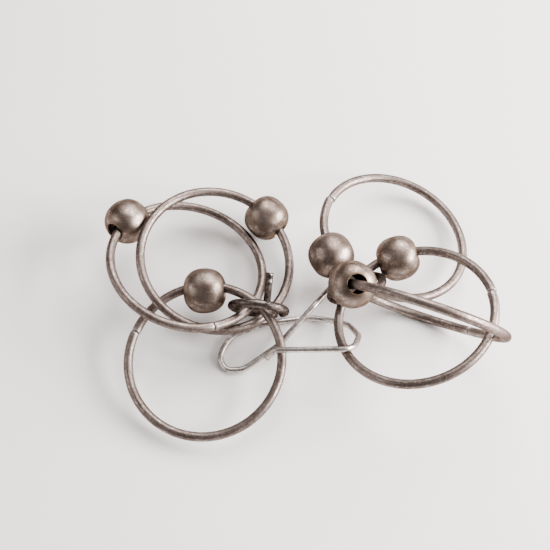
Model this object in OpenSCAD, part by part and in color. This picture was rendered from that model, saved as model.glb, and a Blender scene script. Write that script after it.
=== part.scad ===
// Ring puzzle: two trios of beaded wire hoops, each trio on a small wire link, and one
// bent-wire clip that joins the trios. The pieces lie tangled on a table, whose top is z = 0.
// X runs along the tangle, Y runs back over the table and Z is up. Millimetres.

/* [Hoops] */
// Diameter of the round wire that the hoops are bent from
hoop_wire_d = 2.3; // [1.9:0.1:2.4]
// Gap left between the butted ends of a hoop
butt_gap = 0.2; // [0.1:0.1:0.6]

/* [Left outer hoop] */
// Diameter of the hoop, to the middle of its wire
left_outer_d = 39.4; // [38.8:0.1:39.8]
// Centre of the hoop
left_outer_at = [-28.1, 7.7, 9.7]; // [-60:0.1:60]
// How far the hoop leans from lying flat
left_outer_lean = 17.5; // [10:0.5:25]
// Compass direction that its upper face leans towards
left_outer_toward = 35.5; // [-180:0.5:180]
// Place of the bead round the hoop
left_outer_bead = 108.5; // [-180:0.5:180]
// Place of the butted ends round the hoop
left_outer_butt = -104.5; // [-180:0.5:180]

/* [Left back hoop] */
// Diameter of the hoop, to the middle of its wire
left_back_d = 38.8; // [38.2:0.1:39.4]
// Centre of the hoop
left_back_at = [-20.9, 9.3, 9.5]; // [-60:0.1:60]
// How far the hoop leans from lying flat
left_back_lean = 13.5; // [8:0.5:20]
// Compass direction that its upper face leans towards
left_back_toward = -21; // [-180:0.5:180]
// Place of the bead round the hoop
left_back_bead = 67; // [-180:0.5:180]
// Place of the butted ends round the hoop
left_back_butt = 67; // [-180:0.5:180]

/* [Left front hoop] */
// Diameter of the hoop, to the middle of its wire
left_front_d = 38.2; // [37.8:0.1:38.8]
// Centre of the hoop
left_front_at = [-23.1, -17.5, 6.7]; // [-60:0.1:60]
// How far the hoop leans from lying flat
left_front_lean = 10; // [6:0.5:16]
// Compass direction that its upper face leans towards
left_front_toward = -114.5; // [-180:0.5:180]
// Place of the bead round the hoop
left_front_bead = -154.5; // [-180:0.5:180]
// Place of the butted ends round the hoop
left_front_butt = -88.5; // [-180:0.5:180]

/* [Right back hoop] */
// Diameter of the hoop, to the middle of its wire
right_back_d = 38.5; // [38:0.1:39.2]
// Centre of the hoop
right_back_at = [25.5, 17.2, 7.8]; // [-60:0.1:60]
// How far the hoop leans from lying flat
right_back_lean = 16; // [8:0.5:22]
// Compass direction that its upper face leans towards
right_back_toward = 23; // [-180:0.5:180]
// Place of the bead round the hoop
right_back_bead = -176.5; // [-180:0.5:180]
// Place of the butted ends round the hoop
right_back_butt = 129.5; // [-180:0.5:180]

/* [Right upright hoop] */
// Diameter of the hoop, to the middle of its wire
right_upright_d = 39.5; // [38.6:0.1:39.8]
// Centre of the hoop
right_upright_at = [30.3, -10.4, 19.4]; // [-60:0.1:60]
// How far the hoop leans from lying flat
right_upright_lean = 67.5; // [60:0.5:75]
// Compass direction that its upper face leans towards
right_upright_toward = 69.5; // [-180:0.5:180]
// Place of the bead round the hoop
right_upright_bead = 107.5; // [-180:0.5:180]
// Place of the butted ends round the hoop
right_upright_butt = -37; // [-180:0.5:180]

/* [Right front hoop] */
// Diameter of the hoop, to the middle of its wire
right_front_d = 38.2; // [38.2:0.1:39.4]
// Centre of the hoop
right_front_at = [28.3, -9.4, 15.4]; // [-60:0.1:60]
// How far the hoop leans from lying flat
right_front_lean = 18; // [12:0.5:26]
// Compass direction that its upper face leans towards
right_front_toward = 154.5; // [-180:0.5:180]
// Place of the bead round the hoop
right_front_bead = -54; // [-180:0.5:180]
// Place of the butted ends round the hoop
right_front_butt = -144.5; // [-180:0.5:180]

/* [Beads] */
// Diameter of a bead across its waist
bead_d = 11.5; // [10.6:0.1:11.8]
// Length of a bead between its flattened ends
bead_length = 10.9; // [9.6:0.1:11]
// Diameter of the hole through a bead
bead_hole_d = 4.8; // [4.6:0.1:5.4]
// Thickness of a bead's wall
bead_wall = 0.8; // [0.5:0.1:1.2]

/* [Links] */
// Diameter of a link, to the middle of its wire
link_d = 13.5; // [13:0.1:14]
// Diameter of the link wire
link_wire_d = 2.2; // [1.8:0.1:2.3]
// Centre of the left link
left_link_at = [-9.9, -3.9, 7.6]; // [-60:0.1:60]
// How far the left link leans from lying flat
left_link_lean = 74; // [60:0.5:90]
// Compass direction that the left link leans towards
left_link_toward = 83.5; // [-180:0.5:180]
// Length of the tail that stands out behind the left link
tail_length = 8; // [4:0.5:12]
// Diameter of the tail
tail_d = 1.8; // [1.4:0.1:2]
// Centre of the right link
right_link_at = [14.8, 0.5, 10.4]; // [-60:0.1:60]
// How far the right link leans from lying flat
right_link_lean = 45.5; // [20:0.5:60]
// Compass direction that the right link leans towards
right_link_toward = 117; // [-180:0.5:180]
// Gap between the left link's cut ends
left_link_gap = 2.6; // [0.4:0.1:3]
// Place of the left link's cut ends
left_link_cut = -50; // [-180:1:180]
// Place round the left link where its tail turns out
tail_place = -160; // [-180:1:180]
// How far the tail turns away from standing square on the link
tail_turn = [4, 12]; // [-20:1:20]
// Gap between the right link's cut ends
right_link_gap = 0.4; // [0.2:0.1:1]
// Place of the right link's cut ends
right_link_cut = 180; // [-180:1:180]

/* [Clip] */
// Diameter of the springy clip wire
clip_wire_d = 1.5; // [1.2:0.1:1.5]
// Radius of the eye at the clip's end, to the middle of its wire
eye_r = 2.2; // [2.1:0.1:2.6]
// Place of the eye round the right link
eye_place = 2; // [-180:1:180]

/* [Hidden] */
wire_sides = 32;
hoop_sides = 180;
bead_sides = 72;
clip_sides = 12;
bend_steps = 6;
// How full a bead's shoulders are: 1 is an ellipsoid and less is squarer.
bead_fullness = 0.85;
// Width of the small chamfer round the rims of a bead's hole
bead_lip = 0.1;
// The eye's bend radius, its drift along the link's wire at each bend, and its last straight.
eye_bend = 2;
eye_pitch = 0.5;
eye_end = 1;

// A bead hangs a little off the middle of its wire, outwards and towards the hoop's upper face.
left_outer_hang = [0.3, -0.4];
left_back_hang = [-0.2, -1];
left_front_hang = [-1.1, -0.4];
right_back_hang = [0.3, -0.6];
right_upright_hang = [-0.7, 0.2];
right_front_hang = [-0.3, -1];

// Bends of the clip wire as [place, bend radius], from its free cut end to the eye's shank.
clip_bends = [
    [[-7.8, -17.7, 8.2], 0],
    [[-5.9, -16.8, 11], 2],
    [[12.3, -18.3, 15], 3.2],
    [[13.8, -15.9, 12.2], 3],
    [[15.2, -11.5, 7.8], 3.2],
    [[13, -7.7, 5.7], 4],
    [[9.4, -4.5, 1.6], 8],
    [[3.6, -3.2, 0.8], 10],
    [[-9.1, -5, 0.8], 12],
    [[-17.5, -8.7, 0.8], 8],
    [[-19.9, -14.2, 0.8], 4.5],
    [[-18.3, -17.9, 0.8], 2.8],
    [[-13.7, -17.7, 0.8], 4.5],
    [[-5.2, -11.9, 2.1], 6],
    [[4.6, -1.1, 4.3], 6],
    [[10.3, 6.6, 2.4], 4],
    [[16.2, 2.6, 2.4], 2]];

// A hoop's own frame: flat in XY at its centre, then leaned and turned into place.
module placed(at, lean, toward) {
    translate(at) rotate([0, lean, toward]) children();
}

// A ring of round wire with a gap between its ends, which are centred on the place given.
module wire_ring(d, wire_d, gap, place) {
    open = gap / (PI * d) * 360;
    rotate([0, 0, place + open / 2])
        rotate_extrude(angle = 360 - open, $fn = hoop_sides)
            translate([d / 2, 0]) circle(d = wire_d, $fn = wire_sides);
}

// Quarter outline of a bead: full at the waist and flattened towards the hole.
function bead_curve(r, h, a) = 
    [r * pow(cos(a), bead_fullness), h * pow(sin(a), bead_fullness)];

// Outline points from the waist towards one end, kept outside the hole.
function bead_edge(r, h) =
    [for (a = [0:6:84]) let (p = bead_curve(r, h, a))
        if (p.x > bead_hole_d / 2 + bead_lip / 2) p];

// Closed outline of the hollow bead's wall, for one full turn about its hole.
module bead_wall_outline() {
    outer = bead_edge(bead_d / 2, bead_length / 2);
    inner = bead_edge(bead_d / 2 - bead_wall, bead_length / 2 - bead_wall);
    rim = bead_hole_d / 2;
    top = outer[len(outer) - 1].y;
    low = inner[len(inner) - 1].y;
    polygon(concat(
        [for (i = [len(outer) - 1:-1:1]) [outer[i].x, -outer[i].y]],
        outer,
        [[rim, top - bead_lip], [rim, low + bead_lip]],
        [for (i = [len(inner) - 1:-1:0]) inner[i]],
        [for (i = [1:len(inner) - 1]) [inner[i].x, -inner[i].y]],
        [[rim, -low - bead_lip], [rim, bead_lip - top]]));
}

// A hollow bead threaded on a hoop at the place given, hanging off its wire.
module threaded_bead(d, place, hang) {
    color([0.5, 0.46, 0.41])
        rotate([0, 0, place]) translate([d / 2 + hang.x, 0, hang.y]) rotate([90, 0, 0])
            rotate_extrude($fn = bead_sides) bead_wall_outline();
}

module hoop(d, place) {
    color([0.56, 0.52, 0.47]) wire_ring(d, hoop_wire_d, butt_gap, place);
}

module hoop_left_outer() {
    placed(left_outer_at, left_outer_lean, left_outer_toward) hoop(left_outer_d, left_outer_butt);
}

module hoop_left_back() {
    placed(left_back_at, left_back_lean, left_back_toward) hoop(left_back_d, left_back_butt);
}

module hoop_left_front() {
    placed(left_front_at, left_front_lean, left_front_toward) hoop(left_front_d, left_front_butt);
}

module hoop_right_back() {
    placed(right_back_at, right_back_lean, right_back_toward) hoop(right_back_d, right_back_butt);
}

module hoop_right_upright() {
    placed(right_upright_at, right_upright_lean, right_upright_toward)
        hoop(right_upright_d, right_upright_butt);
}

module hoop_right_front() {
    placed(right_front_at, right_front_lean, right_front_toward)
        hoop(right_front_d, right_front_butt);
}

module bead_left_outer() {
    placed(left_outer_at, left_outer_lean, left_outer_toward)
        threaded_bead(left_outer_d, left_outer_bead, left_outer_hang);
}

module bead_left_back() {
    placed(left_back_at, left_back_lean, left_back_toward)
        threaded_bead(left_back_d, left_back_bead, left_back_hang);
}

module bead_left_front() {
    placed(left_front_at, left_front_lean, left_front_toward)
        threaded_bead(left_front_d, left_front_bead, left_front_hang);
}

module bead_right_back() {
    placed(right_back_at, right_back_lean, right_back_toward)
        threaded_bead(right_back_d, right_back_bead, right_back_hang);
}

module bead_right_upright() {
    placed(right_upright_at, right_upright_lean, right_upright_toward)
        threaded_bead(right_upright_d, right_upright_bead, right_upright_hang);
}

module bead_right_front() {
    placed(right_front_at, right_front_lean, right_front_toward)
        threaded_bead(right_front_d, right_front_bead, right_front_hang);
}

// The link's wire ring, and the tail that runs back from its top as the end of the same wire.
module left_link() {
    color([0.6, 0.57, 0.52]) placed(left_link_at, left_link_lean, left_link_toward) {
        wire_ring(link_d, link_wire_d, left_link_gap, left_link_cut);
        rotate([0, 0, tail_place]) translate([link_d / 2, 0, 0])
            rotate([tail_turn.x, tail_turn.y, 0])
            cylinder(d = tail_d, h = tail_length, $fn = wire_sides);
    }
}

module right_link() {
    color([0.6, 0.57, 0.52]) placed(right_link_at, right_link_lean, right_link_toward)
        wire_ring(link_d, link_wire_d, right_link_gap, right_link_cut);
}

// Rotation about Y then Z, as placed() turns a piece.
function turned(p, lean, toward) =
    let (q = [p.x * cos(lean) + p.z * sin(lean), p.y, p.z * cos(lean) - p.x * sin(lean)])
    [q.x * cos(toward) - q.y * sin(toward), q.x * sin(toward) + q.y * cos(toward), q.z];

// A point near the right link's wire: out from it, along it and up from it.
function by_link(out, along, up) =
    let (r = link_d / 2 + out)
    right_link_at + turned([r * cos(eye_place) - along * sin(eye_place),
        r * sin(eye_place) + along * cos(eye_place), up], right_link_lean, right_link_toward);

// The eye closes round the link's wire and ends beside its own shank.
eye_bends = [
    [by_link(-eye_r, 0, -eye_r), eye_bend],
    [by_link(-eye_r, -eye_pitch, eye_r), eye_bend],
    [by_link(eye_r, -2 * eye_pitch, eye_r), eye_bend],
    [by_link(eye_r, -3 * eye_pitch, -eye_end), 0]];
bends = concat(clip_bends, eye_bends);

function unit(v) = v / norm(v);

// Points round one bend: a fillet of the given radius where two straight stretches meet.
function bend_points(a, b, c, r) =
    let (u = unit(a - b), v = unit(c - b), half = acos(max(-1, min(1, u * v))) / 2,
        cut = r / tan(half), middle = b + unit(u + v) * (r / sin(half)),
        p = b + u * cut, q = b + v * cut, sweep = 180 - 2 * half,
        e = unit(p - middle), f = unit((q - middle) - e * ((q - middle) * e)))
    [for (i = [0:bend_steps]) let (t = sweep * i / bend_steps) middle + r * (e * cos(t) + f * sin(t))];

clip_path = concat(
    [bends[0][0]],
    [for (i = [1:len(bends) - 2], p = bend_points(bends[i - 1][0], bends[i][0],
        bends[i + 1][0], bends[i][1])) p],
    [bends[len(bends) - 1][0]]);

// Sideways direction at each ring of the sweep, carried along the path without twisting.
function carried(v, t) = unit(v - t * (v * t));
function along(i) = unit(clip_path[min(i + 1, len(clip_path) - 1)] - clip_path[max(i - 1, 0)]);
function sides(i, v) = i >= len(clip_path) ? [] :
    let (s = carried(v, along(i))) concat([s], sides(i + 1, s));

// One round wire swept along the clip's path, with flat cut ends.
module wire_clip() {
    n = clip_sides;
    last = len(clip_path) - 1;
    side = sides(0, [0, 1, 0]);
    points = [for (i = [0:last], k = [0:n - 1]) let (a = 360 * k / n)
        clip_path[i] + clip_wire_d / 2
            * (side[i] * cos(a) + cross(along(i), side[i]) * sin(a))];
    walls = [for (i = [0:last - 1], k = [0:n - 1])
        [i * n + k, (i + 1) * n + k, (i + 1) * n + (k + 1) % n, i * n + (k + 1) % n]];
    ends = [[for (k = [0:n - 1]) k], [for (k = [n - 1:-1:0]) last * n + k]];
    color([0.72, 0.7, 0.65]) polyhedron(points, concat(walls, ends));
}

left_link();
right_link();
wire_clip();
hoop_left_outer();
hoop_left_back();
hoop_left_front();
hoop_right_back();
hoop_right_upright();
hoop_right_front();
bead_left_outer();
bead_left_back();
bead_left_front();
bead_right_back();
bead_right_upright();
bead_right_front();
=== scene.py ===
import math
import random

import bmesh
import bpy
from mathutils import Matrix, Vector


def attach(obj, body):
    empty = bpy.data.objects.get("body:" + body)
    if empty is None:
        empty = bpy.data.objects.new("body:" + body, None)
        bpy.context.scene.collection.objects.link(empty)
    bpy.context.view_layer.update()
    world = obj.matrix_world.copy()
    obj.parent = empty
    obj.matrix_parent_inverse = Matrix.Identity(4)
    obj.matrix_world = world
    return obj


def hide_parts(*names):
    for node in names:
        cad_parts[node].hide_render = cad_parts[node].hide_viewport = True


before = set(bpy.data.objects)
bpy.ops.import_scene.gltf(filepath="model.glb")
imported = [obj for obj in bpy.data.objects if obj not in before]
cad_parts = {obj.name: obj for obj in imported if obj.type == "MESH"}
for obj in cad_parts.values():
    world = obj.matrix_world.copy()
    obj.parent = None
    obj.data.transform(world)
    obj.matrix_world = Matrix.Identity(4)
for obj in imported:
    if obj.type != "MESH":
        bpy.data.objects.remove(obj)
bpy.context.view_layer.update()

# ---------------------------------------------------------------------------------------------
# Table, light and camera. The tangle lies on matt pale paper in soft daylight, which comes from
# a window on the right. The rest of the room is dim, and shows as the dark in the metal.
MM = 0.001


def aimed(obj, at, target):
    obj.location = Vector(at) * MM
    obj.rotation_euler = (Vector(target) - Vector(at)).to_track_quat("-Z", "Y").to_euler()


def soft_light(name, at, target, wide, high, watts, tint):
    lamp = bpy.data.lights.new(name, "AREA")
    lamp.shape = "RECTANGLE"
    lamp.size, lamp.size_y = wide * MM, high * MM
    lamp.energy, lamp.color = watts, tint
    obj = bpy.data.objects.new(name, lamp)
    bpy.context.scene.collection.objects.link(obj)
    aimed(obj, at, target)


soft_light("window", (440, -20, 190), (0, 0, 0), 380, 240, 14.6, (1.0, 0.985, 0.97))
soft_light("ceiling_bounce", (120, 330, 400), (0, 0, 0), 420, 360, 5.6, (1.0, 0.98, 0.97))
soft_light("wall_bounce", (-420, -60, 260), (0, 0, 10), 300, 240, 0.8, (1.0, 0.975, 0.95))

room = bpy.data.worlds.new("dim_room")
room.use_nodes = True
room.node_tree.nodes["Background"].inputs["Color"].default_value = (0.225, 0.21, 0.205, 1)
room.node_tree.nodes["Background"].inputs["Strength"].default_value = 1.0
bpy.context.scene.world = room

lens = bpy.data.cameras.new("view")
lens.lens, lens.sensor_width = 65.5, 36
lens.clip_start, lens.clip_end = 0.01, 10
camera = bpy.data.objects.new("view", lens)
bpy.context.scene.collection.objects.link(camera)
aimed(camera, (-5.73, -115, 234.6), (-5.73, 7.07, 5))
bpy.context.scene.camera = camera


# places of the colour sockets on a Mix node, whose names are shared with its number sockets
COLOUR_A, COLOUR_B, COLOUR_OUT = 6, 7, 2


def material(name):
    made = bpy.data.materials.new(name)
    made.use_nodes = True
    return made, made.node_tree, made.node_tree.nodes["Principled BSDF"]


def node(tree, kind, inputs=(), **settings):
    """A shader node. Each input is a name or place with either a value or a socket to join to it."""
    made = tree.nodes.new(kind)
    for key, value in settings.items():
        setattr(made, key, value)
    for key, value in dict(inputs).items():
        if isinstance(value, bpy.types.NodeSocket):
            tree.links.new(value, made.inputs[key])
        else:
            made.inputs[key].default_value = value
    return made


def mixed(tree, factor, first, second):
    """The colour output of a blend, all first where factor is 0 and all second where it is 1."""
    blend = node(tree, "ShaderNodeMix", {"Factor": factor, COLOUR_A: first, COLOUR_B: second},
                 data_type="RGBA")
    return blend.outputs[COLOUR_OUT]


def finished(bm, name):
    """The bmesh as a smooth-shaded object with its place in its mesh."""
    mesh = bpy.data.meshes.new(name)
    bm.to_mesh(mesh)
    bm.free()
    mesh.shade_smooth()
    obj = bpy.data.objects.new(name, mesh)
    bpy.context.scene.collection.objects.link(obj)
    return obj


PAPER_HALF = 1.6  # metres, wide enough to reach past every view
bm = bmesh.new()
bmesh.ops.create_grid(bm, x_segments=1, y_segments=1, size=PAPER_HALF)
paper = finished(bm, "paper")
paper_mat, tree, shader = material("matt_paper")
place = node(tree, "ShaderNodeTexCoord").outputs["Object"]
mottle = node(tree, "ShaderNodeTexNoise", {"Vector": place, "Scale": 14.0, "Detail": 3.0})
tint = mixed(tree, mottle.outputs["Fac"], (0.82, 0.79, 0.775, 1), (0.86, 0.83, 0.815, 1))
tree.links.new(tint, shader.inputs["Base Color"])
shader.inputs["Roughness"].default_value = 0.85
shader.inputs["Specular IOR Level"].default_value = 0.25
paper.data.materials.append(paper_mat)

# ---------------------------------------------------------------------------------------------
# Hoops. Six rings of round wire, each bent by hand from one length with its ends butted and
# filed. The ends don't quite line up, and the wire is tarnished dull with rubbed streaks.
HOOP_WIRE = 2.3
BUTT_GAP = 0.2
HOOP_STEPS = 220
# how many degrees round the ring the filed mark and the spring of the ends fade over
FILED_SPREAD = 3.0
SPRING_SPREAD = 7.0
# name: diameter, centre, lean, toward, place of the butted ends, step between the ends
HOOPS = {
    "left_outer": (39.4, (-28.1, 7.7, 9.7), 17.5, 35.5, -104.5, 0.16),
    "left_back": (38.8, (-20.9, 9.3, 9.5), 13.5, -21, 67, 0.12),
    "left_front": (38.2, (-23.1, -17.5, 6.7), 10, -114.5, -88.5, 0.2),
    "right_back": (38.5, (25.5, 17.2, 7.8), 16, 23, 129.5, 0.35),
    "right_upright": (39.5, (30.3, -10.4, 19.4), 67.5, 69.5, -37, 0.12),
    "right_front": (38.2, (28.3, -9.4, 15.4), 18, 154.5, -144.5, 0.3),
}


def lying(at, lean, toward):
    """From a ring's own frame, flat in XY, to where it lies, leaning towards a compass direction."""
    return (Matrix.Translation(Vector(at)) @ Matrix.Rotation(math.radians(toward), 4, "Z")
            @ Matrix.Rotation(math.radians(lean), 4, "Y"))


def ring_of_wire(bm, across, thick, gap, place, steps):
    """Spins a round section into an open ring, closes its ends and takes their sharp edge off."""
    opening = gap / (math.pi * across) * 360
    start = Matrix.Rotation(math.radians(place + opening / 2), 4, "Z")
    section = (start @ Matrix.Translation((across / 2, 0, 0))
               @ Matrix.Rotation(math.radians(90), 4, "X"))
    made = bmesh.ops.create_circle(bm, segments=36, radius=thick / 2, matrix=section)
    rim = list({e for v in made["verts"] for e in v.link_edges})
    bmesh.ops.spin(bm, geom=made["verts"] + rim, cent=(0, 0, 0), axis=(0, 0, 1),
                   angle=math.radians(360 - opening), steps=steps)
    ends = [e for e in bm.edges if e.is_boundary]
    bmesh.ops.holes_fill(bm, edges=ends, sides=0)
    bmesh.ops.bevel(bm, geom=ends, offset=thick * 0.06, segments=2, profile=0.5,
                    affect="EDGES", material=-1)
    bmesh.ops.recalc_face_normals(bm, faces=bm.faces)


def degrees_from(turn, place):
    """How far the angle turn, in radians, is round from place, in degrees from -180 to 180."""
    return (math.degrees(turn) - place + 180) % 360 - 180


def mark_grain(bm, across, place):
    """Keeps each point's place along and round the wire, which drawn lines and scratches follow."""
    grain = bm.verts.layers.float_vector.new("grain")
    joint = bm.verts.layers.float.new("joint")
    for v in bm.verts:
        turn = math.atan2(v.co.y, v.co.x)
        out = math.hypot(v.co.x, v.co.y) - across / 2
        round_ = math.atan2(v.co.z, out)
        v[grain] = (turn * across / 2, math.cos(round_) * HOOP_WIRE / 2,
                    math.sin(round_) * HOOP_WIRE / 2)
        v[joint] = math.exp(-(degrees_from(turn, place) / FILED_SPREAD) ** 2)


def step_ends(bm, across, place, step):
    """Springs one end a little outwards of the other, fading round the ring."""
    for v in bm.verts:
        off = degrees_from(math.atan2(v.co.y, v.co.x), place)
        fade = math.exp(-abs(off) / SPRING_SPREAD)
        out = Vector((v.co.x, v.co.y, 0)).normalized()
        v.co += out * (step * fade * (0.5 if off > 0 else -0.5))


def worn_metal(name, dark, mid, bare, rub, rough, patch=150.0, drawn=False, joint=False):
    """Tarnished metal: cloudy dark and mid tones, bare metal where it is rubbed, fine scratches.

    A drawn wire's streaks run along it, by its grain. A joint has bare metal at its butted ends.
    """
    mat, tree, shader = material(name)
    place = node(tree, "ShaderNodeTexCoord").outputs["Object"]
    cloud = node(tree, "ShaderNodeTexNoise", {"Vector": place, "Scale": patch, "Detail": 5.0,
                                              "Roughness": 0.62, "Distortion": 0.4}).outputs["Fac"]
    tone = node(tree, "ShaderNodeMapRange", {"Value": cloud, "From Min": 0.36, "From Max": 0.66})
    tarnish = mixed(tree, tone.outputs["Result"], (*dark, 1), (*mid, 1))
    speck = node(tree, "ShaderNodeTexNoise", {"Vector": place, "Scale": patch * 9, "Detail": 4.0,
                                              "Roughness": 0.7}).outputs["Fac"]
    if drawn:
        grain = node(tree, "ShaderNodeAttribute", attribute_name="grain").outputs["Vector"]
        stretched = node(tree, "ShaderNodeVectorMath", {0: grain, 1: (0.22, 1.6, 1.6)},
                         operation="MULTIPLY").outputs["Vector"]
        streak = node(tree, "ShaderNodeTexNoise", {"Vector": stretched, "Scale": 2.2,
                                                   "Detail": 6.0, "Roughness": 0.65}).outputs["Fac"]
    else:
        streak = node(tree, "ShaderNodeTexNoise", {"Vector": place, "Scale": patch * 3,
                                                   "Detail": 6.0, "Roughness": 0.65}).outputs["Fac"]
    both = node(tree, "ShaderNodeMath", {0: streak, 1: speck}, operation="ADD").outputs["Value"]
    worn = node(tree, "ShaderNodeMapRange", {"Value": both, "From Min": 1.0 - rub * 0.25,
                                             "From Max": 1.42 - rub * 0.25, "To Max": 0.9})
    coat = mixed(tree, worn.outputs["Result"], tarnish, (*bare, 1))
    if joint:
        near = node(tree, "ShaderNodeAttribute", attribute_name="joint").outputs["Fac"]
        filed = node(tree, "ShaderNodeMath", {0: near, 1: 0.55}, operation="MULTIPLY")
        coat = mixed(tree, filed.outputs["Value"], coat, (*bare, 1))
    tree.links.new(coat, shader.inputs["Base Color"])
    gloss = node(tree, "ShaderNodeMapRange", {"Value": both, "From Min": 0.7, "From Max": 1.3,
                                              "To Min": rough + 0.1, "To Max": rough - 0.08})
    tree.links.new(gloss.outputs["Result"], shader.inputs["Roughness"])
    bump = node(tree, "ShaderNodeBump", {"Height": both, "Strength": 0.5, "Distance": 0.00006})
    tree.links.new(bump.outputs["Normal"], shader.inputs["Normal"])
    shader.inputs["Metallic"].default_value = 1.0
    shader.inputs["Specular Tint"].default_value = (0.42, 0.38, 0.36, 1)
    return mat


hoop_metal = worn_metal("tarnished_hoop_wire", (0.11, 0.08, 0.068), (0.205, 0.16, 0.143),
                        (0.49, 0.435, 0.405), 0.0, 0.42, drawn=True, joint=True)
for side, (across, at, lean, toward, butt, step) in HOOPS.items():
    bm = bmesh.new()
    ring_of_wire(bm, across, HOOP_WIRE, BUTT_GAP, butt, HOOP_STEPS)
    mark_grain(bm, across, butt)
    step_ends(bm, across, butt, step)
    bmesh.ops.transform(bm, matrix=Matrix.Scale(MM, 4) @ lying(at, lean, toward), verts=bm.verts)
    hoop = finished(bm, "wire_hoop_" + side)
    hoop.data.materials.append(hoop_metal)
    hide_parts("hoop_" + side)
    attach(hoop, "hoop_" + side)

# ---------------------------------------------------------------------------------------------
# Beads. Thin hollow metal shells, pressed round with flattened ends and a wide hole, one loose
# on each hoop. They are dented from handling. Brown painted shade darkens each shell towards its
# holes, and its inner face is painted near black as painted shade.
BEAD_ACROSS = 11.5
BEAD_LONG = 10.9
BEAD_HOLE = 4.8
BEAD_WALL = 0.8
FULLNESS = 0.85
HOLE_ROUNDING = 0.14
DENTS = 9
DENT_AT = 5.5
# how far out from the hole rim the brown painted shade fades
HOLE_SHADE_SPREAD = 1.1
INNER_FACE = BEAD_LONG / 2 - 0.35  # from the middle, just nearer than the dented outer face
# name: place round its hoop, how far it hangs outwards and up off the middle of the wire
BEADS = {
    "left_outer": (108.5, 0.3, -0.4),
    "left_back": (67, -0.2, -1),
    "left_front": (-154.5, -1.1, -0.4),
    "right_back": (-176.5, 0.3, -0.6),
    "right_upright": (107.5, -0.7, 0.2),
    "right_front": (-54, -0.3, -1),
}


def hollow_bead(bm, dice):
    """A ball pressed to a barrel, cut open at both ends, dented, then given its wall."""
    made = bmesh.ops.create_uvsphere(bm, u_segments=96, v_segments=64, radius=1)
    for v in made["verts"]:
        out = math.hypot(v.co.x, v.co.y)
        side = Vector((v.co.x, v.co.y, 0)) / out if out > 1e-6 else Vector((0, 0, 0))
        up = math.copysign(BEAD_LONG / 2 * abs(v.co.z) ** FULLNESS, v.co.z)
        v.co = side * (BEAD_ACROSS / 2 * out ** FULLNESS) + Vector((0, 0, up))
    out_at_rim = (BEAD_HOLE / BEAD_ACROSS) ** (1 / FULLNESS)
    rim_height = BEAD_LONG / 2 * math.sqrt(1 - out_at_rim ** 2) ** FULLNESS
    for up in (1, -1):
        bmesh.ops.bisect_plane(bm, geom=bm.verts[:] + bm.edges[:] + bm.faces[:],
                               plane_co=(0, 0, up * rim_height), plane_no=(0, 0, up),
                               clear_outer=True)
    dents = []
    for _ in range(DENTS):
        turn, up = dice.uniform(0, 2 * math.pi), dice.uniform(-0.62, 0.62)
        dents.append((Vector((math.cos(turn), math.sin(turn), up)).normalized() * DENT_AT,
                      dice.uniform(1.3, 2.6), dice.uniform(0.05, 0.17)))
    for v in bm.verts:
        inwards = -v.co.normalized()
        free = max(0.0, 1 - (abs(v.co.z) / rim_height) ** 6)
        for centre, reach, depth in dents:
            v.co += inwards * (free * depth * math.exp(-((v.co - centre).length / reach) ** 2))
    bmesh.ops.recalc_face_normals(bm, faces=bm.faces)
    bmesh.ops.solidify(bm, geom=bm.faces[:], thickness=BEAD_WALL)
    lips = [e for e in bm.edges if len(e.link_faces) == 2 and e.calc_face_angle() > 0.6]
    bmesh.ops.bevel(bm, geom=lips, offset=HOLE_ROUNDING, segments=3, profile=0.5, affect="EDGES",
                    material=-1)
    # how much brown painted shade each point takes, fading out from the holes
    hole_shade = bm.verts.layers.float.new("hole_shade")
    # whether a point is on the shell's inner face, which is painted dark as painted shade
    inside = bm.verts.layers.float.new("inside")
    for v in bm.verts:
        out = math.hypot(v.co.x, v.co.y)
        v[hole_shade] = math.exp(-max(0.0, out - BEAD_HOLE / 2) / HOLE_SHADE_SPREAD)
        v[inside] = 1.0 if v.co.length < INNER_FACE else 0.0


bead_metal = worn_metal("tarnished_bead_shell", (0.125, 0.09, 0.073), (0.24, 0.187, 0.16),
                        (0.56, 0.49, 0.44), -0.1, 0.38, patch=190.0)
tree = bead_metal.node_tree
shader = tree.nodes["Principled BSDF"]
clean = shader.inputs["Base Color"].links[0].from_socket
# Painted shade: brown darkening of the shell towards each hole, broken into patches
hole_shade_mask = node(tree, "ShaderNodeAttribute", attribute_name="hole_shade").outputs["Fac"]
patchy = node(tree, "ShaderNodeTexNoise", {
    "Vector": node(tree, "ShaderNodeTexCoord").outputs["Object"], "Scale": 420.0, "Detail": 3.0})
amount = node(tree, "ShaderNodeMath", {0: hole_shade_mask, 1: patchy.outputs["Fac"]}, operation="MULTIPLY")
with_hole_shade = mixed(tree, amount.outputs["Value"], clean, (0.16, 0.095, 0.05, 1))
# Painted shade: the inner face of the shell, seen through the holes, is painted near black
hollow = node(tree, "ShaderNodeAttribute", attribute_name="inside").outputs["Fac"]
inside_painted_shade = mixed(tree, hollow, with_hole_shade, (0.05, 0.038, 0.035, 1))
tree.links.new(inside_painted_shade, shader.inputs["Base Color"])

dice = random.Random(7)
for side, (place, outwards, up) in BEADS.items():
    across, at, lean, toward = HOOPS[side][:4]
    bm = bmesh.new()
    hollow_bead(bm, dice)
    threaded = (lying(at, lean, toward) @ Matrix.Rotation(math.radians(place), 4, "Z")
                @ Matrix.Translation((across / 2 + outwards, 0, up))
                @ Matrix.Rotation(math.radians(90), 4, "X")
                @ Matrix.Rotation(dice.uniform(0, 2 * math.pi), 4, "Z"))
    bmesh.ops.transform(bm, matrix=Matrix.Scale(MM, 4) @ threaded, verts=bm.verts)
    bead = finished(bm, "hollow_bead_" + side)
    bead.data.materials.append(bead_metal)
    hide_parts("bead_" + side)
    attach(bead, "bead_" + side)

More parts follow.
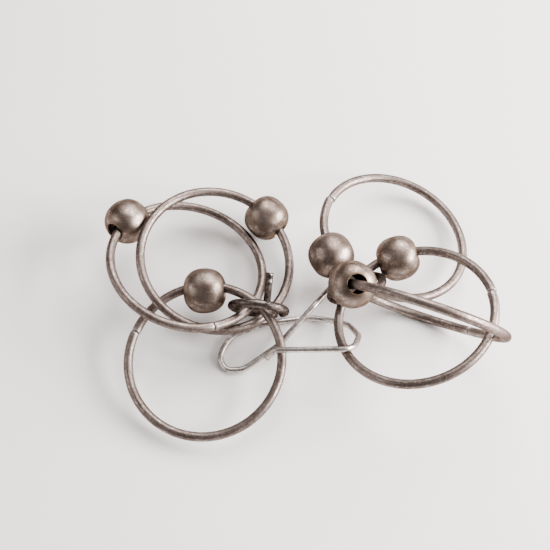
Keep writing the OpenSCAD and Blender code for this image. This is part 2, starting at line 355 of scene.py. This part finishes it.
# ---------------------------------------------------------------------------------------------
# Links. A small ring of the same sort of wire carries each trio. The left one is the end of a
# longer wire, whose tail stands out behind it with a flat cut end; its other end is cut too.
LINK_ACROSS = 13.5
LINK_WIRE = 2.2
TAIL_PLACE = -160
TAIL_TURN = (4, 12)
TAIL_THICK = 1.8
TAIL_LONG = 8
TAIL_STEPS = 8
LINK_STEPS = 120
# Painted shade: the links' tarnished metal matches the hoops', with all its tones painted much
# darker over the whole link
link_metal_painted_shade = worn_metal("tarnished_link_wire_painted_shade", (0.045, 0.032, 0.027), (0.11, 0.085, 0.075),
                        (0.42, 0.375, 0.35), 0.0, 0.38, drawn=True)
# name: centre, lean, toward, gap between its cut ends, their place
LINKS = {"left_link": ((-9.9, -3.9, 7.6), 74, 83.5, 2.6, -50),
         "right_link": ((14.8, 0.5, 10.4), 45.5, 117, 0.4, 180)}
for name, (at, lean, toward, gap, gap_place) in LINKS.items():
    bm = bmesh.new()
    ring_of_wire(bm, LINK_ACROSS, LINK_WIRE, gap, gap_place, LINK_STEPS)
    if name == "left_link":
        root = (Matrix.Rotation(math.radians(TAIL_PLACE), 4, "Z")
                @ Matrix.Translation((LINK_ACROSS / 2, 0, 0))
                @ Matrix.Rotation(math.radians(TAIL_TURN[1]), 4, "Y")
                @ Matrix.Rotation(math.radians(TAIL_TURN[0]), 4, "X"))
        base = bmesh.ops.create_circle(bm, cap_ends=True, segments=32, radius=TAIL_THICK / 2,
                                       matrix=root)["verts"]
        face = next(f for f in base[0].link_faces if set(f.verts) == set(base))
        for _ in range(TAIL_STEPS):
            grown = bmesh.ops.extrude_face_region(bm, geom=[face])["geom"]
            face = next(g for g in grown if isinstance(g, bmesh.types.BMFace))
            bmesh.ops.translate(bm, verts=face.verts,
                                vec=root.to_3x3() @ Vector((0, 0, TAIL_LONG / TAIL_STEPS)))
        bmesh.ops.recalc_face_normals(bm, faces=bm.faces)
    mark_grain(bm, LINK_ACROSS, gap_place)
    bmesh.ops.transform(bm, matrix=Matrix.Scale(MM, 4) @ lying(at, lean, toward), verts=bm.verts)
    link = finished(bm, "wire_" + name)
    link.data.materials.append(link_metal_painted_shade)
    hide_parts(name)
    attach(link, name)

# ---------------------------------------------------------------------------------------------
# Clip. One thin springy wire, cut flat at its free end, bent on pliers into a loop that lies on
# the table and a raised loop across it, and closed in a small eye on the right link.
CLIP_WIRE = 1.5
EYE_R = 2.2
EYE_PLACE = 2
BEND_STEPS = 10
CUT_ROUNDING = 0.08
# each bend's corner and its radius, from the free end to the shank of the eye
CLIP_BENDS = [((-7.8, -17.7, 8.2), 0), ((-5.9, -16.8, 11), 2), ((12.3, -18.3, 15), 3.2),
              ((13.8, -15.9, 12.2), 3), ((15.2, -11.5, 7.8), 3.2), ((13, -7.7, 5.7), 4),
              ((9.4, -4.5, 1.6), 8), ((3.6, -3.2, 0.8), 10), ((-9.1, -5, 0.8), 12),
              ((-17.5, -8.7, 0.8), 8), ((-19.9, -14.2, 0.8), 4.5), ((-18.3, -17.9, 0.8), 2.8),
              ((-13.7, -17.7, 0.8), 4.5), ((-5.2, -11.9, 2.1), 6), ((4.6, -1.1, 4.3), 6),
              ((10.3, 6.6, 2.4), 4), ((16.2, 2.6, 2.4), 2)]
link_at, link_lean, link_toward = LINKS["right_link"][:3]
beside_link = (lying(link_at, link_lean, link_toward)
               @ Matrix.Rotation(math.radians(EYE_PLACE), 4, "Z")
               @ Matrix.Translation((LINK_ACROSS / 2, 0, 0)))
EYE_BENDS = [((-EYE_R, 0, -EYE_R), 2), ((-EYE_R, -0.5, EYE_R), 2), ((EYE_R, -1, EYE_R), 2),
             ((EYE_R, -1.5, -1), 0)]
corners = [(Vector(p), r) for p, r in CLIP_BENDS]
corners += [(beside_link @ Vector(p), r) for p, r in EYE_BENDS]


def run_straight(bm, tip, reach):
    """Grows the wire's tip straight on by the vector reach."""
    grown = bmesh.ops.extrude_edge_only(bm, edges=[g for g in tip
                                                   if isinstance(g, bmesh.types.BMEdge)])["geom"]
    tip = [g for g in grown if isinstance(g, bmesh.types.BMVert)]
    bmesh.ops.translate(bm, verts=tip, vec=reach)
    return tip + [g for g in grown if isinstance(g, bmesh.types.BMEdge)
                  and all(v in tip for v in g.verts)]


bm = bmesh.new()
heading = (corners[1][0] - corners[0][0]).normalized()
start = Matrix.Translation(corners[0][0]) @ heading.to_track_quat("Z", "Y").to_matrix().to_4x4()
tip = bmesh.ops.create_circle(bm, cap_ends=False, segments=28, radius=CLIP_WIRE / 2,
                              matrix=start)["verts"]
tip = tip + list({e for v in tip for e in v.link_edges})
here = corners[0][0]
for (before, _), (corner, radius), (after, _) in zip(corners, corners[1:], corners[2:]):
    heading = (corner - before).normalized()
    ahead = (after - corner).normalized()
    turn = heading.angle(ahead)
    cut = radius * math.tan(turn / 2)
    begin = corner - heading * cut
    tip = run_straight(bm, tip, begin - here)
    axis = heading.cross(ahead).normalized()
    centre = begin + axis.cross(heading) * radius
    tip = bmesh.ops.spin(bm, geom=tip, cent=centre, axis=axis, angle=turn,
                         steps=BEND_STEPS)["geom_last"]
    here = corner + ahead * cut
run_straight(bm, tip, corners[-1][0] - here)
bmesh.ops.remove_doubles(bm, verts=bm.verts, dist=0.001)
ends = [e for e in bm.edges if e.is_boundary]
bmesh.ops.holes_fill(bm, edges=ends, sides=0)
bmesh.ops.bevel(bm, geom=ends, offset=CUT_ROUNDING, segments=2, profile=0.5, affect="EDGES",
                material=-1)
bmesh.ops.recalc_face_normals(bm, faces=bm.faces)
bmesh.ops.scale(bm, vec=(MM, MM, MM), verts=bm.verts)
clip = finished(bm, "bent_wire_clip")
clip_metal = worn_metal("bright_clip_wire", (0.22, 0.175, 0.155), (0.50, 0.44, 0.41),
                        (0.93, 0.89, 0.85), 0.5, 0.32, patch=120.0)
clip.data.materials.append(clip_metal)
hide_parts("wire_clip")
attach(clip, "wire_clip")
